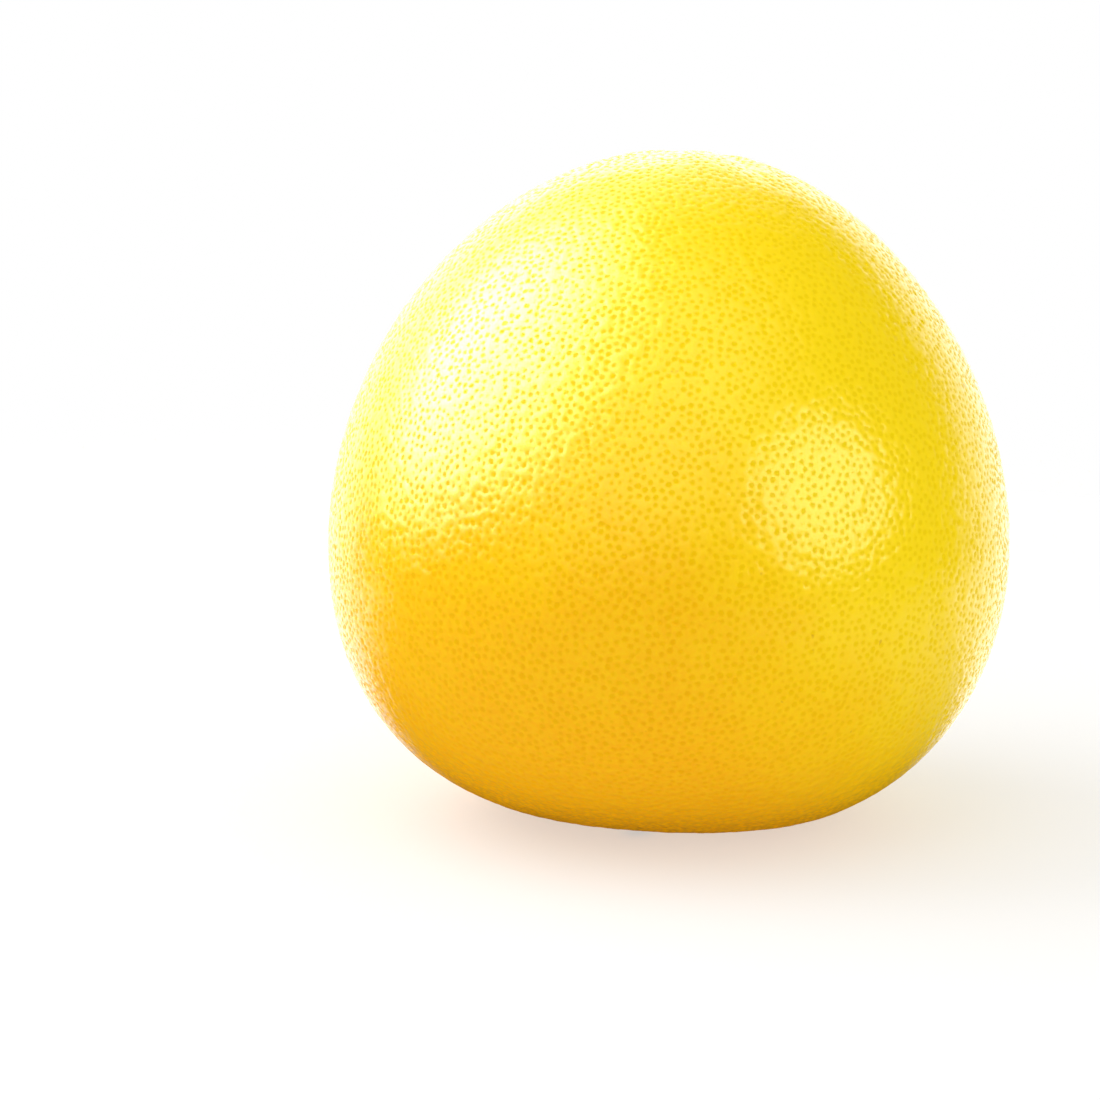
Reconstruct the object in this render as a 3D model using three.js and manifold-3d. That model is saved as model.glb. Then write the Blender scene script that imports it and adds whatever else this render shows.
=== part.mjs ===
// A whole yellow pomelo, standing on its flattened blossom end with the stem end up.
// Millimetres, +Z up. The fruit rests on z = 0, with x = y = 0 in the middle of its width.

import * as THREE from 'three';
import { mergeVertices } from 'three/addons/utils/BufferGeometryUtils.js';
import Module from 'manifold-3d';

const wasm = await Module();
wasm.setup();

const degrees = Math.PI / 180;

// Form of the fruit. The outline is one curve in the angle from the stem end: a sphere of the
// mean radius, with four small waves, each as a share of the radius. They make it taller,
// narrower at the stem, fuller at the sides and broader in the shoulders.
const meanRadius = 75.6;
const tallness = 0.0065;
const taper = 0.0378;
const fullness = -0.0065;
const shoulders = 0.0055;

// Stance. The fruit leans back and to the right, and is pressed flat where it rests.
const leanBack = 16 * degrees;
const leanRight = 5.5 * degrees;
const centreHeight = 69;
const flatEdge = 3.5;

// Soft unevenness of the rind, as grown. Each wave says how many of it go round the fruit, its
// height, the turn that it starts at, and how far it winds as it goes down.
const girthWaves = [
  { round: 3, height: 0.36, start: 0.7, wind: 0 },
  { round: 5, height: 0.2, start: 1.9, wind: 0 },
  { round: 7, height: 0.2, start: 0, wind: 4 },
];
const ovalHeight = 0.28;
const ovalStart = 2.1;
const lopsided = -0.44;

// Hollow round the stem, and the faint furrows that run out of it over the shoulder
const hollowDepth = 3;
const hollowRadius = 7;
const furrowCount = 9;
const furrowDepth = 0.7;
const furrowSpread = 0.25;
const furrowStart = 5 * degrees;
const furrowDeepest = 12 * degrees;
const furrowEnd = 30 * degrees;

// Scar where the blossom dropped off: a shallow dimple with a small nub in the middle
const scarRadius = 8;
const scarDepth = 1.3;
const nubRadius = 2.6;
const nubHeight = 0.7;

// Dry disc at the stem end, with the cut stub of the stalk on it
const footRadius = 4.5;
const discRadius = 5.2;
const widestHeight = 0.6;
const rimHeight = 1.3;
const shoulderRadius = 4.6;
const shoulderHeight = 1.6;
const crownRadius = 3.1;
const crownHeight = 2;
const stubRadius = 2.3;
const stubFoot = 2.2;
const stubTop = 2.7;
const cutRadius = 1.9;
const cutDish = 0.2;
const discLobes = 5;
const lobeDepth = 0.1;
const discSunk = 0.9;
const seatGap = 0.3;
const seatTop = 7;

// Fineness of the faceted surfaces
const segmentsAround = 72;
const ringsOverBody = 38;
const ringsAtEnds = 5;
const endZone = 11 * degrees;
const discSegments = 40;

// Colours
const rindColour = 0xf3cf2e;
const stemColour = 0x7a5c36;

const ramp = THREE.MathUtils.smoothstep;

// How deep the furrows are at one angle from the stem and one turn round the fruit.
function furrow(fromStem, turn) {
  const rise = ramp(fromStem, furrowStart, furrowDeepest);
  const fall = 1 - ramp(fromStem, furrowDeepest, furrowEnd);
  const unevenTurn = turn + furrowSpread * Math.sin(2 * turn + 1);
  const crease = (0.5 + 0.5 * Math.cos(furrowCount * unevenTurn)) ** 2;
  return furrowDepth * rise * fall * crease;
}

// Broad waves round the fruit that die out at both ends.
function unevenness(fromStem, turn) {
  const girth = Math.sin(fromStem) ** 2;
  let height = ovalHeight * Math.cos(2 * turn + ovalStart) * Math.sin(2 * fromStem) * Math.sin(fromStem);
  height += lopsided * Math.cos(turn) * Math.sin(3 * fromStem) * Math.sin(fromStem);
  for (const wave of girthWaves) {
    height += wave.height * girth ** 2 * Math.sin(wave.round * turn + wave.wind * fromStem + wave.start);
  }
  return height;
}

// Distance of the rind from the middle of the fruit.
function rindRadius(fromStem, turn) {
  const form = 1 + tallness * Math.cos(2 * fromStem) + taper * Math.cos(3 * fromStem)
    + fullness * Math.cos(4 * fromStem) + shoulders * Math.cos(5 * fromStem);
  const smooth = meanRadius * form;
  const fromAxis = smooth * Math.sin(fromStem);
  const stemSide = fromStem < Math.PI / 2 ? 1 : 0;
  const hollow = stemSide * hollowDepth * Math.exp(-((fromAxis / hollowRadius) ** 2));
  return smooth - hollow - furrow(fromStem, turn) + unevenness(fromStem, turn);
}

// The fruit's own axis, from the middle to the stem, leans: this turns upright points into that.
const lean = new THREE.Euler(-leanBack, leanRight, 0, 'YXZ');

// Presses a height flat at the floor, with a rounded edge to the flat.
function pressFlat(height) {
  const nearness = Math.max(flatEdge - Math.abs(height), 0) / flatEdge;
  return Math.max(height, 0) + nearness ** 2 * flatEdge / 4;
}

// Raises the skin over the blossom scar, by distance from the fruit's own axis.
function scarHollow(fromAxis) {
  const dimple = Math.max(1 - (fromAxis / scarRadius) ** 2, 0) ** 2 * scarDepth;
  const nub = Math.max(1 - (fromAxis / nubRadius) ** 2, 0) ** 2 * nubHeight;
  return dimple - nub;
}

// The angles from the stem end at which the skin has a ring of points, closer at both ends.
function ringAngles() {
  const angles = [];
  for (let i = 0; i < ringsAtEnds; i += 1) {
    angles.push(endZone * i / ringsAtEnds);
  }
  for (let i = 0; i <= ringsOverBody; i += 1) {
    angles.push(endZone + (Math.PI - 2 * endZone) * i / ringsOverBody);
  }
  for (let i = ringsAtEnds - 1; i >= 0; i -= 1) {
    angles.push(Math.PI - endZone * i / ringsAtEnds);
  }
  return angles;
}

// A turned shape about +Z, from profile points that run from its lower end up to its top.
function turned(profile, segments) {
  const shape = new THREE.LatheGeometry(profile, segments);
  shape.rotateX(Math.PI / 2);
  return shape;
}

// Merges the shared points of a shape and drops the faces that a turned shape has with no area.
function closed(shape) {
  shape.deleteAttribute('normal');
  shape.deleteAttribute('uv');
  const merged = mergeVertices(shape, 1e-5);
  const kept = [];
  const corners = merged.index.array;
  for (let i = 0; i < corners.length; i += 3) {
    const [a, b, c] = [corners[i], corners[i + 1], corners[i + 2]];
    if (a !== b && b !== c && c !== a) {
      kept.push(a, b, c);
    }
  }
  merged.setIndex(kept);
  return merged;
}

function toSolid(shape) {
  return new wasm.Manifold(new wasm.Mesh({
    numProp: 3,
    vertProperties: new Float32Array(shape.attributes.position.array),
    triVerts: new Uint32Array(shape.index.array),
  }));
}

function toGeometry(solid) {
  const mesh = solid.getMesh();
  const shape = new THREE.BufferGeometry();
  shape.setAttribute('position', new THREE.BufferAttribute(mesh.vertProperties, 3));
  shape.setIndex(new THREE.BufferAttribute(mesh.triVerts, 1));
  shape.computeVertexNormals();
  return shape;
}

// The skin of the fruit: a turned ball whose points are moved out to the rind, leaned,
// pressed flat underneath and hollowed at the blossom scar.
function fruitSkin() {
  const profile = ringAngles().reverse().map(
    (angle) => new THREE.Vector2(Math.abs(Math.sin(angle)), Math.cos(angle)));
  profile[0].x = 0;
  profile.at(-1).x = 0;
  const skin = closed(turned(profile, segmentsAround));
  const points = skin.attributes.position;
  const point = new THREE.Vector3();
  for (let i = 0; i < points.count; i += 1) {
    point.fromBufferAttribute(points, i).normalize();
    const fromStem = Math.acos(THREE.MathUtils.clamp(point.z, -1, 1));
    const turn = Math.atan2(point.y, point.x);
    point.multiplyScalar(rindRadius(fromStem, turn));
    const fromAxis = Math.hypot(point.x, point.y);
    point.applyEuler(lean);
    point.z = pressFlat(point.z + centreHeight);
    if (fromStem > Math.PI / 2) {
      point.z += scarHollow(fromAxis);
    }
    points.setXYZ(i, point.x, point.y, point.z);
  }
  return skin;
}

// Draws the rim of a shape about +Z in between blunt lobes, and leaves its middle round.
function lobed(shape) {
  const points = shape.attributes.position;
  for (let i = 0; i < points.count; i += 1) {
    const x = points.getX(i);
    const y = points.getY(i);
    const atRim = ramp(Math.hypot(x, y), crownRadius, footRadius);
    const between = 0.5 - 0.5 * Math.cos(discLobes * Math.atan2(y, x));
    const scale = 1 - lobeDepth * atRim * between;
    points.setXYZ(i, x * scale, y * scale, points.getZ(i));
  }
  return shape;
}

// The stem disc and its stub about +Z, with the foot at z = 0.
function discShape() {
  return closed(lobed(turned([
    new THREE.Vector2(0, 0),
    new THREE.Vector2(footRadius, 0),
    new THREE.Vector2(discRadius, widestHeight),
    new THREE.Vector2(discRadius, rimHeight),
    new THREE.Vector2(shoulderRadius, shoulderHeight),
    new THREE.Vector2(crownRadius, crownHeight),
    new THREE.Vector2(stubRadius, stubFoot),
    new THREE.Vector2(stubRadius, stubTop),
    new THREE.Vector2(cutRadius, stubTop + cutDish),
    new THREE.Vector2(0, stubTop),
  ], discSegments)));
}

// The space that the disc needs in the fruit: its lower half with the gap added, open above.
function seatShape() {
  return closed(lobed(turned([
    new THREE.Vector2(0, -seatGap),
    new THREE.Vector2(footRadius + seatGap, -seatGap),
    new THREE.Vector2(discRadius + seatGap, widestHeight),
    new THREE.Vector2(discRadius + seatGap, seatTop),
    new THREE.Vector2(0, seatTop),
  ], discSegments)));
}

// Where the foot of the stem disc lies: sunk into the floor of the hollow, on the fruit's axis.
function discFoot() {
  const foot = new THREE.Vector3(0, 0, rindRadius(0, 0) - discSunk).applyEuler(lean);
  foot.z += centreHeight;
  return foot;
}

function makeFruit() {
  const seat = seatShape();
  const place = new THREE.Matrix4().makeRotationFromEuler(lean).setPosition(discFoot());
  seat.applyMatrix4(place);
  const solid = toSolid(fruitSkin()).subtract(toSolid(seat));
  const rind = new THREE.MeshStandardMaterial({ color: rindColour, roughness: 0.42, metalness: 0 });
  const fruit = new THREE.Mesh(toGeometry(solid), rind);
  fruit.name = 'fruit';
  return fruit;
}

function makeStemButton() {
  const wood = new THREE.MeshStandardMaterial({ color: stemColour, roughness: 0.85, metalness: 0 });
  const button = new THREE.Mesh(discShape(), wood);
  button.name = 'stem_button';
  button.position.copy(discFoot());
  button.rotation.copy(lean);
  return button;
}

const pomelo = new THREE.Group();
const fruit = makeFruit();
pomelo.add(fruit, makeStemButton());
const width = new THREE.Box3().setFromObject(fruit);
pomelo.position.set(-(width.min.x + width.max.x) / 2, -(width.min.y + width.max.y) / 2, 0);

export default pomelo;
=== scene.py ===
# Looks for a whole yellow pomelo: the dimpled, waxy rind and the dry disc at its stem end.
# Metres, +Z up. The fruit rests on z = 0.
import math

import bpy
import numpy as np
from mathutils import Euler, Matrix, Vector, kdtree, noise


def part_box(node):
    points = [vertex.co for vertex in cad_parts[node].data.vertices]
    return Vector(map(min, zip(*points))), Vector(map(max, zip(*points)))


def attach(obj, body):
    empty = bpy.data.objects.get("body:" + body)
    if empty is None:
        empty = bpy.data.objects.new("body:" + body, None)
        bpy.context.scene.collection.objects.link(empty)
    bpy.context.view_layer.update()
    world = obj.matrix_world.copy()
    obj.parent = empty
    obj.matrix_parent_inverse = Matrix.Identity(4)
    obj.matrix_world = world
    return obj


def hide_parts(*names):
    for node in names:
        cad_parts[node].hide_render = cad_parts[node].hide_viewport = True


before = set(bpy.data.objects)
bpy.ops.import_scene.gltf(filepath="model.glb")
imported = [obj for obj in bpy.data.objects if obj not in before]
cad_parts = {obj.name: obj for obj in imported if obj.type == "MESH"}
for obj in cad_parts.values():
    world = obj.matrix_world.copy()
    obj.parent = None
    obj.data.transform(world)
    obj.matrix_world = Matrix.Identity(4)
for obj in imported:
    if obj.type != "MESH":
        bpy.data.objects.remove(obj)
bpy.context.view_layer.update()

mm = 0.001


def ramp(value, low, high):
    t = np.clip((value - low) / (high - low), 0, 1)
    return t * t * (3 - 2 * t)


# The fruit's form, as the solid has it: shares of the radius, then millimetres and degrees
fruitForm = {
    "meanRadius": 75.6,
    "tallness": 0.0065, "taper": 0.0378, "fullness": -0.0065, "shoulders": 0.0055,
    "leanBack": 16.0, "leanRight": 5.5, "centreHeight": 69.0, "flatEdge": 3.5,
    "ovalHeight": 0.28, "ovalStart": 2.1, "lopsided": -0.44,
    # How many waves go round, their height, where they start, and how far they wind on the way down
    "girthWaves": ((3, 0.36, 0.7, 0), (5, 0.2, 1.9, 0), (7, 0.2, 0, 4)),
    "hollowDepth": 3.0, "hollowRadius": 7.0,
    "furrowCount": 9, "furrowDepth": 0.7, "furrowSpread": 0.25, "furrowReach": (5.0, 12.0, 30.0),
    "scarRadius": 8.0, "scarDepth": 1.3, "nubRadius": 2.6, "nubHeight": 0.7,
}


# Distance of the rind from the middle of the fruit, without its scar.
def rindRadius(fromStem, turn):
    f = fruitForm
    form = (1 + f["tallness"] * np.cos(2 * fromStem) + f["taper"] * np.cos(3 * fromStem)
            + f["fullness"] * np.cos(4 * fromStem) + f["shoulders"] * np.cos(5 * fromStem))
    smooth = f["meanRadius"] * form
    fromAxis = smooth * np.sin(fromStem)
    hollow = f["hollowDepth"] * np.exp(-(fromAxis / f["hollowRadius"]) ** 2)
    hollow = np.where(fromStem < math.pi / 2, hollow, 0)
    start, deepest, end = (math.radians(a) for a in f["furrowReach"])
    reach = ramp(fromStem, start, deepest) * (1 - ramp(fromStem, deepest, end))
    unevenTurn = turn + f["furrowSpread"] * np.sin(2 * turn + 1)
    furrow = f["furrowDepth"] * reach * (0.5 + 0.5 * np.cos(f["furrowCount"] * unevenTurn)) ** 2
    oval = np.cos(2 * turn + f["ovalStart"])
    wave = f["ovalHeight"] * oval * np.sin(2 * fromStem) * np.sin(fromStem)
    wave += f["lopsided"] * np.cos(turn) * np.sin(3 * fromStem) * np.sin(fromStem)
    for count, height, begin, wind in f["girthWaves"]:
        wave += height * np.sin(fromStem) ** 4 * np.sin(count * turn + wind * fromStem + begin)
    return smooth - hollow - furrow + wave


def leanMatrix():
    f = fruitForm
    lean = Euler((-math.radians(f["leanBack"]), math.radians(f["leanRight"]), 0), 'XYZ')
    return np.array(lean.to_matrix())


# Points in the fruit's own upright frame to the leaned and pressed one, all in millimetres.
def standing(points):
    f = fruitForm
    leaned = points @ leanMatrix().T
    height = leaned[:, 2] + f["centreHeight"]
    nearness = np.maximum(f["flatEdge"] - np.abs(height), 0) / f["flatEdge"]
    leaned[:, 2] = np.maximum(height, 0) + nearness ** 2 * f["flatEdge"] / 4
    return leaned


# How far the skin is raised off the floor round the blossom scar.
def scarHollow(fromAxis):
    f = fruitForm
    dimple = np.maximum(1 - (fromAxis / f["scarRadius"]) ** 2, 0) ** 2 * f["scarDepth"]
    nub = np.maximum(1 - (fromAxis / f["nubRadius"]) ** 2, 0) ** 2 * f["nubHeight"]
    return dimple - nub


# The skin's relief: oil glands and the fine swell between them, in millimetres
rindSkin = {
    "meshFrequency": 97,                      # 20 times its square is the number of triangles
    "seed": 11,
    "glandSpacing": 2.05, "glandJitter": 0.3,
    "glandRoom": 0.86, "crowd": 5, "spreadRounds": 8,  # how glands push their nearest ones away
    "netTries": 4, "relaxRounds": 8,
    "glandStrength": (1.0, 0.22, 0.45, 1.5),  # mean, spread, least and most
    "glandsNear": 3, "pitDepth": 0.17, "pitRadius": 0.52, "swellDepth": 0.07, "swellRadius": 1.15,
    "pebble": ((9.0, 0.10), (3.6, 0.05)),     # wave length and height
    "inset": 0.06,                            # keeps the smooth skin inside the faceted solid's box
    "seatEdge": (-0.3, 0.6),                  # slope round the stem disc, from its rim
    "greenReach": (3.0, 26.0), "scarReach": (0.8, 5.5),
}


# A ball of even triangles: the faces of an icosahedron, each split into rows.
def geodesicNet(frequency):
    golden = (1 + math.sqrt(5)) / 2
    corners = np.array([(-1, golden, 0), (1, golden, 0), (-1, -golden, 0), (1, -golden, 0),
                        (0, -1, golden), (0, 1, golden), (0, -1, -golden), (0, 1, -golden),
                        (golden, 0, -1), (golden, 0, 1), (-golden, 0, -1), (-golden, 0, 1)])
    corners /= np.linalg.norm(corners[0])
    sides = ((0, 11, 5), (0, 5, 1), (0, 1, 7), (0, 7, 10), (0, 10, 11), (1, 5, 9), (5, 11, 4),
             (11, 10, 2), (10, 7, 6), (7, 1, 8), (3, 9, 4), (3, 4, 2), (3, 2, 6), (3, 6, 8),
             (3, 8, 9), (4, 9, 5), (2, 4, 11), (6, 2, 10), (8, 6, 7), (9, 8, 1))
    rows = [(i, j) for i in range(frequency + 1) for j in range(frequency + 1 - i)]
    number = {ij: k for k, ij in enumerate(rows)}
    up = [(number[i, j], number[i + 1, j], number[i, j + 1])
          for i, j in rows if i + j < frequency]
    down = [(number[i + 1, j], number[i + 1, j + 1], number[i, j + 1])
            for i, j in rows if i + j < frequency - 1]
    faces = np.array(up + down)
    share = np.array(rows) / frequency
    points, triangles = [], []
    for k, (a, b, c) in enumerate(sides):
        grid = (corners[a] * (1 - share.sum(1))[:, None]
                + corners[b] * share[:, :1] + corners[c] * share[:, 1:])
        points.append(grid / np.linalg.norm(grid, axis=1)[:, None])
        triangles.append(faces + k * len(rows))
    points = np.concatenate(points)
    keys = np.round(points * 1e6).astype(np.int64)  # points on shared edges get the same key
    _, first, merged = np.unique(keys, axis=0, return_index=True, return_inverse=True)
    return points[first], merged.reshape(-1)[np.concatenate(triangles)]


def treeOf(points):
    tree = kdtree.KDTree(len(points))
    for k, p in enumerate(points):
        tree.insert(p, k)
    tree.balance()
    return tree


def unit(vectors):
    return vectors / np.linalg.norm(vectors, axis=1)[:, None]


# Directions of the oil glands: an even spiral, shaken, then spread so that none crowd another.
def glandDirections(random):
    s = rindSkin
    radius = fruitForm["meanRadius"]
    count = int(4 * math.pi * radius ** 2 / (s["glandSpacing"] ** 2 * math.sqrt(3) / 2))
    k = np.arange(count) + 0.5
    z = 1 - 2 * k / count
    turn = k * math.pi * (3 - math.sqrt(5))
    flat = np.sqrt(1 - z * z)
    spot = np.stack([flat * np.cos(turn), flat * np.sin(turn), z], axis=1)
    spacing = s["glandSpacing"] / radius
    room = s["glandRoom"] * spacing
    spot = unit(spot + random.normal(0, s["glandJitter"] * spacing, spot.shape))
    for _ in range(s["spreadRounds"]):
        tree = treeOf(spot)
        push = np.zeros_like(spot)
        for i, p in enumerate(spot):
            for q, j, gap in tree.find_n(p, s["crowd"]):
                if j != i and gap < room:
                    push[i] += (p - np.array(q)) * (room / max(gap, 1e-6) - 1) * 0.5
        spot = unit(spot + push)
    return spot


# Moves one net point onto each gland, never two neighbours, and evens out the net between them.
def drawToGlands(net, triangles, spots):
    s = rindSkin
    ends = np.concatenate([triangles[:, [0, 1]], triangles[:, [1, 2]], triangles[:, [2, 0]]])
    ends = ends[np.argsort(ends[:, 0], kind='stable')]
    degree = np.bincount(ends[:, 0], minlength=len(net))
    begin = np.concatenate([[0], np.cumsum(degree)])
    tree = treeOf(net)
    fixed = np.zeros(len(net), bool)
    beside = np.zeros(len(net), bool)
    kept = []
    for k, spot in enumerate(spots):
        for _, index, _ in tree.find_n(spot, s["netTries"]):
            if not fixed[index] and not beside[index]:
                net[index] = spot
                fixed[index] = True
                beside[ends[begin[index]:begin[index + 1], 1]] = True
                kept.append(k)
                break
    for _ in range(s["relaxRounds"]):
        mean = [np.bincount(ends[:, 0], net[ends[:, 1], axis], len(net)) for axis in range(3)]
        mean = unit(np.stack(mean, axis=1) / degree[:, None])
        net[~fixed] = mean[~fixed]
    return net, spots[kept]


# How deep the skin lies at each point under its glands, and how much gland shows there.
def glandRelief(net, spots, random):
    s = rindSkin
    radius = fruitForm["meanRadius"]
    tree = treeOf(spots)
    mean, deviation, least, most = s["glandStrength"]
    strength = np.clip(random.normal(mean, deviation, len(spots)), least, most)
    depth = np.zeros(len(net))
    gland = np.zeros(len(net))
    for i, p in enumerate(net):
        for _, j, gap in tree.find_n(p, s["glandsNear"]):
            away = gap * radius
            near = strength[j] * math.exp(-(away / s["pitRadius"]) ** 2)
            swell = math.exp(-(away / s["swellRadius"]) ** 2)
            depth[i] += s["pitDepth"] * near + s["swellDepth"] * swell
            gland[i] = max(gland[i], near)
    return depth, gland


def normalsOf(points, triangles):
    a, b, c = (points[triangles[:, k]] for k in range(3))
    across = np.cross(b - a, c - a)
    total = np.zeros_like(points)
    for k in range(3):
        for axis in range(3):
            total[:, axis] += np.bincount(triangles[:, k], across[:, axis], len(points))
    return unit(total)


def newMesh(name, points, triangles):
    mesh = bpy.data.meshes.new(name)
    mesh.vertices.add(len(points))
    mesh.vertices.foreach_set("co", points.astype(np.float32).ravel())
    mesh.loops.add(triangles.size)
    mesh.loops.foreach_set("vertex_index", triangles.astype(np.int32).ravel())
    mesh.polygons.add(len(triangles))
    mesh.polygons.foreach_set("loop_start", np.arange(0, triangles.size, 3, dtype=np.int32))
    mesh.update(calc_edges=True)
    mesh.validate()
    mesh.shade_smooth()
    piece = bpy.data.objects.new(name, mesh)
    bpy.context.scene.collection.objects.link(piece)
    return piece


# Keeps a number for each point of a piece, for its material to read.
def paint(piece, name, values):
    layer = piece.data.attributes.new(name, 'FLOAT', 'POINT')
    layer.data.foreach_set("value", np.asarray(values, np.float32))


# Makes the rind and returns how far it was moved to stand in the middle of the solid's box.
def makeRind():
    s = rindSkin
    random = np.random.default_rng(s["seed"])
    net, triangles = geodesicNet(s["meshFrequency"])
    spots = glandDirections(random)
    net, spots = drawToGlands(net, triangles, spots)
    print("rind net:", len(net), "points,", len(triangles), "faces,", len(spots), "glands")

    fromStem = np.arccos(np.clip(net[:, 2], -1, 1))
    turn = np.arctan2(net[:, 1], net[:, 0])
    upright = net * rindRadius(fromStem, turn)[:, None]
    fromAxis = np.hypot(upright[:, 0], upright[:, 1])
    skin = standing(upright)
    skin[:, 2] += np.where(fromStem > math.pi / 2, scarHollow(fromAxis), 0)

    depth, gland = glandRelief(net, spots, random)
    for length, height in s["pebble"]:
        rough = np.array([noise.noise(Vector(p / length)) for p in upright])
        depth += height * (0.5 - 0.5 * np.clip(rough, -1, 1))
    d = stemDisc
    inner, outer = (d["discRadius"] + edge for edge in s["seatEdge"])
    seat = np.where(fromStem < 0.5, 1 - ramp(fromAxis, inner, outer), 0)
    depth += seat * (d["sunk"] + d["seatGap"])
    skin -= normalsOf(skin, triangles) * (depth + s["inset"])[:, None]

    low, high = (np.array(corner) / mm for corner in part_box("fruit"))
    shift = (low + high) / 2 - (skin.min(0) + skin.max(0)) / 2
    shift[2] = 0
    piece = newMesh("pomeloRind", (skin + shift) * mm, triangles)
    paint(piece, "gland", gland)
    top = fromStem < math.pi / 2
    paint(piece, "stemEnd", np.where(top, 1 - ramp(fromAxis, *s["greenReach"]), 0))
    paint(piece, "blossomEnd", np.where(top, 0, 1 - ramp(fromAxis, *s["scarReach"])))
    paint(piece, "down", fromStem / math.pi)
    piece.data.materials.append(rindMaterial())
    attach(piece, "root")
    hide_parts("fruit")
    return shift


# The dry disc where the stalk was cut, in millimetres. The profile runs from the middle of the
# foot out to the rim and up to the middle of the cut, as distance from the axis and height.
stemDisc = {
    "profile": (
        (0.0, 0.0), (2.25, 0.0), (4.5, 0.0), (5.044, 0.3), (5.2, 0.6), (5.2, 0.9), (5.148, 1.1),
        (4.94, 1.3), (4.6, 1.5), (4.2, 1.65), (3.8, 1.78), (3.4, 1.88), (3.1, 1.95), (2.75, 2.0),
        (2.45, 2.08), (2.28, 2.2), (2.2, 2.4), (2.2, 2.6), (2.12, 2.8), (1.9, 2.85), (1.6, 2.77),
        (1.2, 2.73), (0.8, 2.69), (0.4, 2.65), (0.0, 2.63),
    ),
    "discRadius": 5.2, "sunk": 0.9, "seatGap": 0.3, "around": 120,
    "lobes": 5, "lobeDepth": 0.1, "lobeReach": (3.1, 4.5),
    "ridges": 31, "ridgeDepth": 0.09, "ridgeSway": 1.3,
    "rough": (0.12, 0.072), "roughFrom": (0.5, 1.4), "wearScale": 1.4, "wearStretch": 1.7,
    "cutReach": 2.1, "cutFrom": (2.45, 2.65),
}


# One ring of the disc: its outline point turned about the axis, with lobes, ridges and wear.
def discRing(reach, height, turns):
    d = stemDisc
    atRim = ramp(reach, *d["lobeReach"])
    lobe = 1 - d["lobeDepth"] * atRim * (0.5 - 0.5 * np.cos(d["lobes"] * turns))
    onSide = ramp(height, *d["roughFrom"])
    sway = d["ridgeSway"] * np.sin(3 * turns)
    ridge = d["ridgeDepth"] * onSide * (0.5 + 0.5 * np.sin(d["ridges"] * turns + sway))
    places = [Vector((math.cos(t) * reach, math.sin(t) * reach, height * d["wearStretch"]))
              for t in turns]
    wear = np.array([noise.noise(place * d["wearScale"]) for place in places])
    wear = onSide * (0.5 + 0.5 * wear)
    sideways, down = d["rough"]
    radius = reach * lobe - ridge - sideways * wear * min(reach, 1)
    worn = height - down * wear[::-1]
    return np.stack([radius * np.cos(turns), radius * np.sin(turns), worn], axis=1)


def makeStemDisc(shift):
    d = stemDisc
    n = d["around"]
    turns = np.arange(n) * 2 * math.pi / n
    rings = [discRing(reach, height, turns) for reach, height in d["profile"][1:-1]]
    foot, cut = (np.array([(0.0, 0.0, d["profile"][end][1])]) for end in (0, -1))
    points = np.concatenate([foot, *rings, cut])
    step = np.arange(n)
    after = (step + 1) % n
    faces = [np.stack([0 * step, 1 + after, 1 + step], axis=1)]
    for k in range(len(rings) - 1):
        a, b = 1 + k * n, 1 + (k + 1) * n
        faces.append(np.stack([a + step, a + after, b + after], axis=1))
        faces.append(np.stack([a + step, b + after, b + step], axis=1))
    top = 1 + (len(rings) - 1) * n
    faces.append(np.stack([top + step, top + after, 0 * step + len(points) - 1], axis=1))

    seatHeight = float(rindRadius(np.array([0.0]), np.array([0.0]))[0]) - d["sunk"]
    leaned = (points + (0, 0, seatHeight)) @ leanMatrix().T
    placed = leaned + (0, 0, fruitForm["centreHeight"]) + shift
    piece = newMesh("stemDisc", placed * mm, np.concatenate(faces))
    inCut = np.hypot(points[:, 0], points[:, 1]) < d["cutReach"]
    paint(piece, "cut", np.where(inCut, ramp(points[:, 2], *d["cutFrom"]), 0))
    piece.data.materials.append(stemMaterial())
    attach(piece, "root")
    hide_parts("stem_button")


# Helpers for materials

def srgb(*levels):
    shares = (level / 255 for level in levels)
    return tuple(c / 12.92 if c <= 0.04 else ((c + 0.055) / 1.055) ** 2.4 for c in shares) + (1.0,)


def addNode(tree, kind, **settings):
    node = tree.nodes.new(kind)
    for key, value in settings.items():
        if key in node.inputs:
            node.inputs[key].default_value = value
        else:
            setattr(node, key, value)
    return node


# Gives a socket a plain value, or links it where the value comes from another node.
def feed(tree, socket, value):
    if isinstance(value, (float, int, tuple)):
        socket.default_value = value
    else:
        tree.links.new(value, socket)


def mixColours(tree, amount, first, second, blend='MIX'):
    mix = addNode(tree, "ShaderNodeMix", data_type='RGBA', blend_type=blend)
    for index, value in ((0, amount), (6, first), (7, second)):  # 6 and 7 take colours
        feed(tree, mix.inputs[index], value)
    return mix.outputs[2]


def mixShaders(tree, share, first, second):
    mix = tree.nodes.new("ShaderNodeMixShader")
    for index, value in enumerate((share, first.outputs[0], second.outputs[0])):
        tree.links.new(value, mix.inputs[index])
    return mix


def maths(tree, operation, first, second=0.0, third=0.0, clamp=False):
    node = addNode(tree, "ShaderNodeMath", operation=operation, use_clamp=clamp)
    for socket, value in zip(node.inputs, (first, second, third)):
        feed(tree, socket, value)
    return node.outputs[0]


def scaled(tree, value, factor, added=0.0):
    return maths(tree, 'MULTIPLY_ADD', value, factor, added)


def vectorMaths(tree, operation, first, second=None):
    node = addNode(tree, "ShaderNodeVectorMath", operation=operation)
    tree.links.new(first, node.inputs[0])
    if second:
        node.inputs[1].default_value = second
    return node.outputs["Value" if operation == 'LENGTH' else "Vector"]


def axesOf(tree, place):
    parts = tree.nodes.new("ShaderNodeSeparateXYZ")
    tree.links.new(place, parts.inputs[0])
    return parts.outputs


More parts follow.
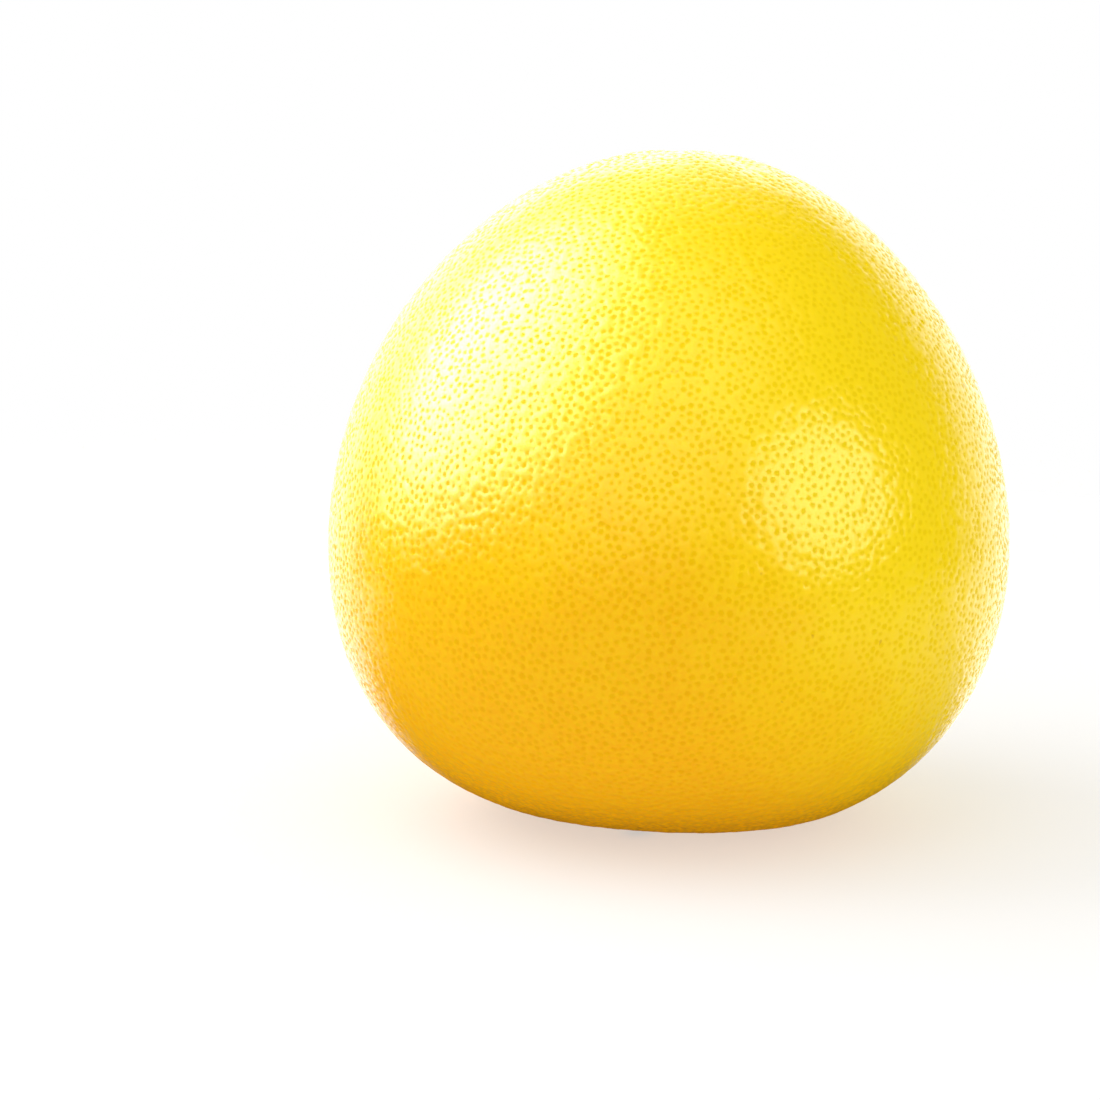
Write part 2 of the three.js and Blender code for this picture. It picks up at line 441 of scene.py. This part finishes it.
def spread(tree, value, low, high):
    node = addNode(tree, "ShaderNodeMapRange", interpolation_type='SMOOTHSTEP')
    tree.links.new(value, node.inputs[0])
    node.inputs[1].default_value = low
    node.inputs[2].default_value = high
    return node.outputs[0]


def attribute(tree, name):
    return addNode(tree, "ShaderNodeAttribute", attribute_name=name).outputs["Fac"]


# Soft blotches and fine grain, for the rind and the dry stem alike.
def mottleGroup():
    group = bpy.data.node_groups.new("mottle", "ShaderNodeTree")
    for name in ("Blotch Scale", "Grain Scale"):
        group.interface.new_socket(name, in_out='INPUT', socket_type='NodeSocketFloat')
    for name in ("Blotch", "Grain"):
        group.interface.new_socket(name, in_out='OUTPUT', socket_type='NodeSocketFloat')
    inside = group.nodes.new("NodeGroupInput")
    outside = group.nodes.new("NodeGroupOutput")
    place = addNode(group, "ShaderNodeTexCoord").outputs["Object"]
    for socket, detail in (("Blotch", 3.0), ("Grain", 4.0)):
        texture = addNode(group, "ShaderNodeTexNoise", Detail=detail, Roughness=0.6)
        group.links.new(place, texture.inputs["Vector"])
        group.links.new(inside.outputs[socket + " Scale"], texture.inputs["Scale"])
        group.links.new(spread(group, texture.outputs["Fac"], 0.3, 0.7), outside.inputs[socket])
    return group


def placeMottle(tree, blotchScale, grainScale):
    mottle = tree.nodes.new("ShaderNodeGroup")
    mottle.node_tree = mottleNodes
    mottle.inputs["Blotch Scale"].default_value = blotchScale
    mottle.inputs["Grain Scale"].default_value = grainScale
    return mottle.outputs["Blotch"], mottle.outputs["Grain"]


def newMaterial(name):
    material = bpy.data.materials.new(name)
    material.use_nodes = True
    tree = material.node_tree
    tree.nodes.clear()
    shader = tree.nodes.new("ShaderNodeBsdfPrincipled")
    output = tree.nodes.new("ShaderNodeOutputMaterial")
    tree.links.new(shader.outputs[0], output.inputs[0])
    return material, tree, shader


def bumpInto(tree, shader, height, strength, distance):
    bump = addNode(tree, "ShaderNodeBump", Strength=strength, Distance=distance)
    tree.links.new(height, bump.inputs["Height"])
    tree.links.new(bump.outputs[0], shader.inputs["Normal"])


rindLooks = {
    "golden": (0.96, 0.6, 0.0, 1), "lemon": (0.96, 0.68, 0.0, 1),
    "amber": (0.95, 0.44, 0.0, 1), "pale": (0.97, 0.76, 0.0, 1), "glandTint": (0.91, 0.89, 0.5, 1),
    "stemGreen": srgb(196, 190, 40), "scarBrown": srgb(104, 66, 24), "freckle": srgb(176, 116, 24),
    "mottle": (55.0, 900.0),                              # scales of the blotches and the grain
    # the lemon shift on the right is painted light: it leaves a painted warm bounce on the lower
    # left
    "unevenByBlotch": 0.07, "paintedLightByRight": -5.0,
    "goldenFrom": (0.3, 0.68), "amberFrom": (0.4, 0.86),  # down the fruit, 0 at the stem end
    "paleShare": 0.22, "dotEdge": (0.15, 0.72),
    "freckleScale": 260.0, "freckleFrom": (0.735, 0.79), "freckleShare": 0.4, "greenShare": 0.5,
    "scarGrain": -0.35, "scarFrom": (0.1, 0.72), "scarShare": 0.9,
    "roughness": (0.5, 0.7), "wax": (1.0, 0.2),           # between the glands and in them
    "patchyRoughness": 0.06, "specular": 0.02, "waxRoughness": 0.22, "waxIor": 1.35,
    "grainRelief": 0.3, "bump": (0.5, 0.0001),
}


def rindMaterial():
    looks = rindLooks
    material, tree, shader = newMaterial("waxyRind")
    blotch, grain = placeMottle(tree, *looks["mottle"])
    place = addNode(tree, "ShaderNodeTexCoord").outputs["Object"]

    # Lemon at the top, golden and then amber further down. On the right the colour is shifted to
    # lemon, so the lower left stays warmer: painted warm bounce light on that side.
    toRight = maths(tree, 'MAXIMUM', axesOf(tree, place)["X"], 0.0)
    uneven = scaled(tree, blotch, looks["unevenByBlotch"], attribute(tree, "down"))
    uneven = scaled(tree, toRight, looks["paintedLightByRight"], uneven)
    goldenShare = spread(tree, uneven, *looks["goldenFrom"])
    colour = mixColours(tree, goldenShare, looks["lemon"], looks["golden"])
    colour = mixColours(tree, spread(tree, uneven, *looks["amberFrom"]), colour, looks["amber"])
    colour = mixColours(tree, scaled(tree, grain, looks["paleShare"]), colour, looks["pale"])

    # Darker dots in the glands, a few freckles, and both ends
    dot = spread(tree, attribute(tree, "gland"), *looks["dotEdge"])
    colour = mixColours(tree, dot, colour, looks["glandTint"], 'MULTIPLY')
    noises = addNode(tree, "ShaderNodeTexNoise", Scale=looks["freckleScale"], Detail=2.0)
    tree.links.new(place, noises.inputs["Vector"])
    freckle = spread(tree, noises.outputs["Fac"], *looks["freckleFrom"])
    scar = scaled(tree, grain, looks["scarGrain"], attribute(tree, "blossomEnd"))
    scar = spread(tree, scar, *looks["scarFrom"])
    for mask, share, tint in ((freckle, "freckleShare", "freckle"),
                              (attribute(tree, "stemEnd"), "greenShare", "stemGreen"),
                              (scar, "scarShare", "scarBrown")):
        colour = mixColours(tree, scaled(tree, mask, looks[share]), colour, looks[tint])
    tree.links.new(colour, shader.inputs["Base Color"])

    # Wax that is glossy between the glands and thin in them
    smooth, rough = looks["roughness"]
    patchy = scaled(tree, grain, looks["patchyRoughness"], smooth)
    tree.links.new(scaled(tree, dot, rough - smooth, patchy), shader.inputs["Roughness"])
    shader.inputs["Specular IOR Level"].default_value = looks["specular"]
    waxed, bare = looks["wax"]
    tree.links.new(scaled(tree, dot, bare - waxed, waxed), shader.inputs["Coat Weight"])
    shader.inputs["Coat Roughness"].default_value = looks["waxRoughness"]
    shader.inputs["Coat IOR"].default_value = looks["waxIor"]
    height = scaled(tree, grain, looks["grainRelief"], scaled(tree, dot, -1.0))
    bumpInto(tree, shader, height, *looks["bump"])
    return material


stemLooks = {
    "bark": srgb(98, 74, 38), "ash": srgb(142, 118, 74),
    "cut": srgb(166, 128, 74), "dark": srgb(50, 34, 16),
    "mottle": (420.0, 2600.0), "darkShare": 0.45, "cutShare": 0.7,
    "roughness": (0.7, 0.2), "bump": (0.6, 0.00015),  # plain roughness, and what the grain adds
}


def stemMaterial():
    looks = stemLooks
    material, tree, shader = newMaterial("dryStem")
    blotch, grain = placeMottle(tree, *looks["mottle"])
    colour = mixColours(tree, blotch, looks["bark"], looks["ash"])
    colour = mixColours(tree, scaled(tree, grain, looks["darkShare"]), colour, looks["dark"])
    cutShare = scaled(tree, attribute(tree, "cut"), looks["cutShare"])
    colour = mixColours(tree, cutShare, colour, looks["cut"])
    tree.links.new(colour, shader.inputs["Base Color"])
    plain, grainy = looks["roughness"]
    tree.links.new(scaled(tree, grain, grainy, plain), shader.inputs["Roughness"])
    bumpInto(tree, shader, grain, *looks["bump"])
    return material


# The pale floor glows a little, as if lit evenly. The gloss mirrors two bright bands of it.
floorLooks = {
    "size": 4.0, "white": 0.92, "roughness": 0.9,
    "glow": (0.5, 0.42),                                   # how much, to the camera and the fruit
    "bands": (("X", 0.05, 0.17, 0.8), ("Y", 0.0, 0.06, 2.0)),  # axis, from, to and light
    "fade": (0.22, 0.5),                                   # from the middle, to nothing
}


def makeFloor():
    looks = floorLooks
    half = looks["size"] / 2
    corners = np.array([(-half, -half, 0), (half, -half, 0), (half, half, 0), (-half, half, 0)])
    floor = newMesh("floor", corners, np.array([(0, 1, 2), (0, 2, 3)]))
    material, tree, shader = newMaterial("paleFloor")
    shader.inputs["Base Color"].default_value = (looks["white"],) * 3 + (1.0,)
    shader.inputs["Roughness"].default_value = looks["roughness"]
    shader.inputs["Specular IOR Level"].default_value = 0.0
    path = addNode(tree, "ShaderNodeLightPath").outputs
    place = addNode(tree, "ShaderNodeTexCoord").outputs["Object"]
    axes = axesOf(tree, place)
    bands = [scaled(tree, spread(tree, axes[axis], begin, end), light)
             for axis, begin, end, light in looks["bands"]]
    mirrored = maths(tree, 'SUBTRACT', maths(tree, 'MAXIMUM', *bands), surround["seen"])
    glow = tree.nodes.new("ShaderNodeEmission")
    brightness = maths(tree, 'MULTIPLY_ADD', path["Is Glossy Ray"], mirrored, surround["seen"])
    tree.links.new(brightness, glow.inputs["Strength"])
    toCamera, toFruit = looks["glow"]
    share = scaled(tree, path["Is Camera Ray"], toCamera, path["Is Glossy Ray"])
    share = maths(tree, 'MULTIPLY_ADD', path["Is Diffuse Ray"], toFruit, share, clamp=True)
    lifted = mixShaders(tree, share, shader, glow)
    fade = spread(tree, vectorMaths(tree, 'LENGTH', place), *looks["fade"])
    faded = mixShaders(tree, fade, lifted, tree.nodes.new("ShaderNodeBsdfTransparent"))
    tree.links.new(faded.outputs[0], tree.nodes["Material Output"].inputs[0])
    material.cycles.emission_sampling = 'NONE'
    floor.data.materials.append(material)


# Soft boxes light all but the gloss, by the direction they stand in, in metres and watts
softboxes = {
    "leftBox": {"toward": (-0.76, 0.21, 0.61), "distance": 0.9, "size": 1.0, "power": 4.2},
    "rightBox": {"toward": (0.84, -0.54, 0.09), "distance": 0.75, "size": 0.6, "power": 0.6},
    "topBox": {"toward": (-0.35, -0.35, 0.87), "distance": 0.9, "size": 1.1, "power": 1.9},
}


def makeSoftbox(name, box, centre):
    light = bpy.data.lights.new(name, 'AREA')
    light.shape = 'DISK'
    light.size = box["size"]
    light.energy = box["power"]
    lamp = bpy.data.objects.new(name, light)
    away = Vector(box["toward"]).normalized()
    lamp.location = centre + away * box["distance"]
    lamp.rotation_euler = away.to_track_quat('Z', 'Y').to_euler()
    lamp.visible_glossy = False
    bpy.context.scene.collection.objects.link(lamp)


# The surround is white to the camera. It lights the fruit evenly, and the gloss mirrors another,
# dark in front and bright behind, with soft veils of light.
surround = {
    "seen": 1.0,
    "lit": (0.81, 0.85), "mirrored": (0.02, 2.05),        # in front and behind
    "behindFrom": (0.5, 0.82), "aside": 0.25, "above": -0.6,
    "veils": (                                            # direction, stretch, fade, brightness
        ((-0.76, 0.1, 0.65), (1, 1, 1), (0.82, 0.17), 31.0),
        ((0.8, -0.52, 0.3), (1, 1, 1.35), (0.52, 0.3), 8.8),
        ((-0.2, -0.55, 0.81), (1, 1, 1), (1.1, 0.35), 3.4),
        ((-0.3, 0.75, 0.6), (1, 1, 1), (0.8, 0.2), 2.2),
    ),
}


def makeSurround():
    world = bpy.data.worlds.new("studio")
    world.use_nodes = True
    tree = world.node_tree
    background = tree.nodes["Background"]
    background.inputs["Color"].default_value = (1, 1, 1, 1)
    path = addNode(tree, "ShaderNodeLightPath").outputs
    direction = addNode(tree, "ShaderNodeTexCoord").outputs["Generated"]
    axes = axesOf(tree, direction)
    aside, above = (maths(tree, 'ABSOLUTE', axes[axis]) for axis in ("X", "Z"))
    toBack = scaled(tree, aside, surround["aside"], axes["Y"])
    toBack = scaled(tree, above, surround["above"], toBack)
    behind = spread(tree, toBack, *surround["behindFrom"])
    lit, mirrored = (scaled(tree, behind, back - front, front)
                     for front, back in (surround["lit"], surround["mirrored"]))
    for toward, stretch, reach, brightness in surround["veils"]:
        away = vectorMaths(tree, 'SUBTRACT', direction, toward)
        away = vectorMaths(tree, 'MULTIPLY', away, stretch)
        veil = spread(tree, vectorMaths(tree, 'LENGTH', away), *reach)
        mirrored = scaled(tree, veil, brightness, mirrored)
    toMirrored = maths(tree, 'SUBTRACT', mirrored, lit)
    lit = maths(tree, 'MULTIPLY_ADD', path["Is Glossy Ray"], toMirrored, lit)
    toSeen = maths(tree, 'SUBTRACT', surround["seen"], lit)
    strength = maths(tree, 'MULTIPLY_ADD', path["Is Camera Ray"], toSeen, lit)
    tree.links.new(strength, background.inputs["Strength"])
    world.cycles.sampling_method = 'NONE'
    bpy.context.scene.world = world


# Degrees above level and metres away. The aim, the lens and the sensor are in millimetres.
photoCamera = {
    "elevation": 12.0, "distance": 1.25, "aim": (-26.07, 0.0, 59.55), "lens": 186.3, "sensor": 36.0,
}


def makeCamera():
    c = photoCamera
    camera = bpy.data.objects.new("photoCamera", bpy.data.cameras.new("photoCamera"))
    camera.data.lens = c["lens"]
    camera.data.sensor_width = c["sensor"]
    tilt = math.radians(c["elevation"])
    back = Vector((0, -math.cos(tilt), math.sin(tilt)))
    camera.location = Vector(c["aim"]) * mm + back * c["distance"]
    camera.rotation_euler = (math.pi / 2 - tilt, 0, 0)
    bpy.context.scene.collection.objects.link(camera)
    bpy.context.scene.camera = camera


makeCamera()
mottleNodes = mottleGroup()
rindShift = makeRind()
print("rind made")
makeStemDisc(rindShift)
print("stem disc made")
makeFloor()
makeSurround()
fruitMiddle = Vector((0, 0, fruitForm["centreHeight"] * mm))
for boxName, softbox in softboxes.items():
    makeSoftbox(boxName, softbox, fruitMiddle)
bpy.context.scene.view_settings.view_transform = 'Standard'
print("studio made")
